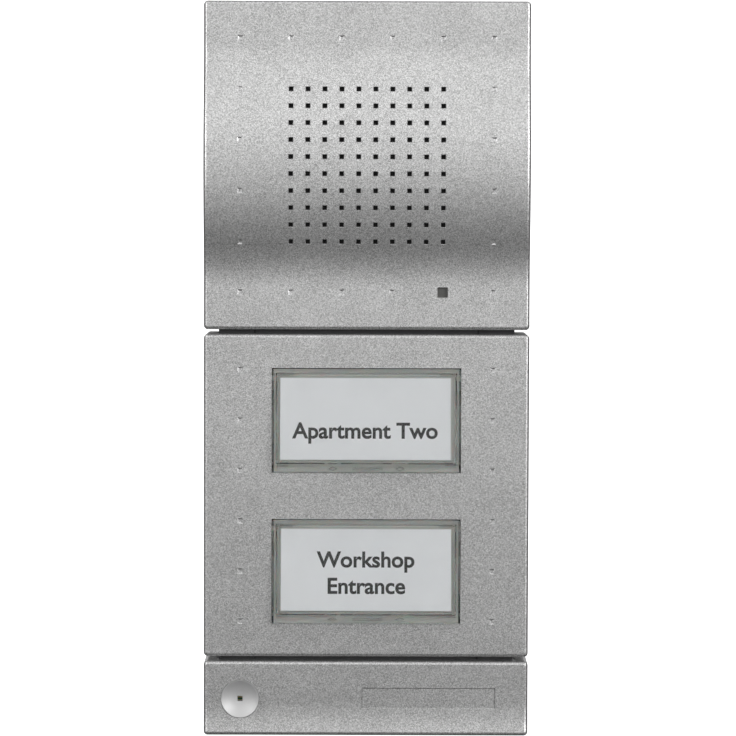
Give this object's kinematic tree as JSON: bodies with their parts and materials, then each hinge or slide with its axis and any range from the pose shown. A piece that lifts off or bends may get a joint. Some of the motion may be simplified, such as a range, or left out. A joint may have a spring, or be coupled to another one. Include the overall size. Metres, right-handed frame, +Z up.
{
  "type": "door intercom panel",
  "caption": "Slim surface-mounted door intercom panel with a bulged speaker grille, lit name-plate call buttons, a round light button and a microphone, in satin silver.",
  "frame": {"origin": "centre of the flat back that lies against the wall, half way up the panel", "axes": "+Z up, front faces -Y, +X to the right as a visitor sees it, wall plane at Y = 0"},
  "size_m": [0.099, 0.0268, 0.223],
  "materials": {
    "silver_lacquer": "fine silver metallic lacquer on plastic, satin",
    "base_plastic": "dark grey moulded plastic, fine grain",
    "frame_plastic": "black moulded plastic",
    "foam": "closed-cell foam",
    "rubber_part": "soft black rubber",
    "acoustic_cloth": "black woven acoustic cloth",
    "microphone_screen": "dark woven screen",
    "spider_cloth": "impregnated cloth",
    "cone_paper": "pressed black paper",
    "copper": "enamelled copper winding",
    "basket_steel": "black-coated pressed steel",
    "plated_steel": "zinc-plated steel",
    "spring_steel": "stainless spring wire",
    "ferrite": "sintered ferrite",
    "wire_insulation": "flexible wire insulation",
    "circuit_board": "green solder mask on glass-fibre board",
    "component_black": "black moulded components",
    "capacitor_can": "aluminium cans",
    "trimmer_blue": "blue moulded trimmers",
    "white_plastic": "white moulded plastic",
    "terminal_green": "green moulded terminal block",
    "flat_cable": "white flat cable",
    "clear_plastic": "clear polycarbonate",
    "card_paper": "matt white card",
    "opal_plastic": "opal light-spreading plastic",
    "led_package": "LED packages"
  },
  "bodies": {
    "panel": {"speaker_cover": "silver_lacquer", "button_cover": "silver_lacquer", "info_cover": "silver_lacquer", "wall_base": "base_plastic", "button_frame": "frame_plastic", "speaker_carrier": "frame_plastic", "wall_seal": "foam", "speaker_gasket": "foam", "microphone_boot": "rubber_part", "speaker_surround": "rubber_part", "grille_membrane": "acoustic_cloth", "microphone_mesh": "microphone_screen", "speaker_spider": "spider_cloth", "speaker_basket": "basket_steel", "speaker_top_plate": "plated_steel", "speaker_yoke": "plated_steel", "board_screws": "plated_steel", "cover_screws": "plated_steel", "terminal_screws": "plated_steel", "microphone_capsule": "plated_steel", "button_springs_1": "spring_steel", "button_springs_2": "spring_steel", "light_button_spring": "spring_steel", "speaker_magnet": "ferrite", "speaker_leads": "wire_insulation", "microphone_leads": "wire_insulation", "bus_wires": "wire_insulation", "audio_board": "circuit_board", "button_board": "circuit_board", "light_board": "circuit_board", "audio_chips": "component_black", "line_transformer": "component_black", "switch_bodies": "component_black", "ribbon_sockets": "component_black", "audio_capacitors": "capacitor_can", "trimmer_bodies": "trimmer_blue", "wire_headers": "white_plastic", "terminal_block": "terminal_green", "upper_ribbon": "flat_cable", "lower_ribbon": "flat_cable", "leds": "led_package"},
    "call_button_1": {"button_window_1": "clear_plastic", "name_card_1": "card_paper", "card_tray_1": "opal_plastic"},
    "call_button_2": {"button_window_2": "clear_plastic", "name_card_2": "card_paper", "card_tray_2": "opal_plastic"},
    "light_button": {"light_button": "silver_lacquer", "light_button_window": "clear_plastic"},
    "switch_plunger_1": {"switch_plunger_1": "white_plastic"},
    "switch_plunger_2": {"switch_plunger_2": "white_plastic"},
    "light_switch_plunger": {"light_switch_plunger": "white_plastic"},
    "speaker_cone": {"speaker_cone": "cone_paper", "speaker_dust_cap": "cone_paper", "voice_coil": "copper"},
    "volume_trimmer": {"volume_trimmer": "white_plastic"},
    "microphone_trimmer": {"microphone_trimmer": "white_plastic"}
  },
  "joints": [
    {"name": "call_button_1_tilt", "type": "hinge", "parent": "panel", "child": "call_button_1", "pos_m": [0, -0.0181, -0.0027], "axis": [1, 0, 0], "range_deg": [0, 1.6], "stiffness_Nm_per_rad": 1, "springref_deg": -0.57, "deforming": ["button_springs_1"]},
    {"name": "call_button_2_tilt", "type": "hinge", "parent": "panel", "child": "call_button_2", "pos_m": [0, -0.0181, -0.0486], "axis": [1, 0, 0], "range_deg": [0, 1.6], "stiffness_Nm_per_rad": 1, "springref_deg": -0.57, "deforming": ["button_springs_2"]},
    {"name": "light_button_press", "type": "slide", "parent": "panel", "child": "light_button", "axis": [0, 1, 0], "range_m": [0, 0.0008], "stiffness_N_per_m": 600, "springref_m": -0.0005, "deforming": ["light_button_spring"]},
    {"name": "switch_1_press", "type": "slide", "parent": "panel", "child": "switch_plunger_1", "axis": [0, 1, 0], "range_m": [0, 0.00055]},
    {"name": "switch_2_press", "type": "slide", "parent": "panel", "child": "switch_plunger_2", "axis": [0, 1, 0], "range_m": [0, 0.00055]},
    {"name": "light_switch_press", "type": "slide", "parent": "panel", "child": "light_switch_plunger", "axis": [0, 1, 0], "range_m": [0, 0.0004]},
    {"name": "speaker_cone_stroke", "type": "slide", "parent": "panel", "child": "speaker_cone", "axis": [0, -1, 0], "range_m": [-0.0004, 0.0004], "stiffness_N_per_m": 1200, "deforming": ["speaker_surround", "speaker_spider"]},
    {"name": "volume_trimmer_turn", "type": "hinge", "parent": "panel", "child": "volume_trimmer", "pos_m": [-0.034, -0.0098, 0.08], "axis": [0, -1, 0], "range_deg": [-130, 130]},
    {"name": "microphone_trimmer_turn", "type": "hinge", "parent": "panel", "child": "microphone_trimmer", "pos_m": [-0.034, -0.0098, 0.07], "axis": [0, -1, 0], "range_deg": [-130, 130]}
  ],
  "couplings": [
    {"joint": "switch_1_press", "follows": "call_button_1_tilt", "m_per_rad": 0.018621},
    {"joint": "switch_2_press", "follows": "call_button_2_tilt", "m_per_rad": 0.018621},
    {"joint": "light_switch_press", "follows": "light_button_press", "ratio": 0.4125}
  ]
}
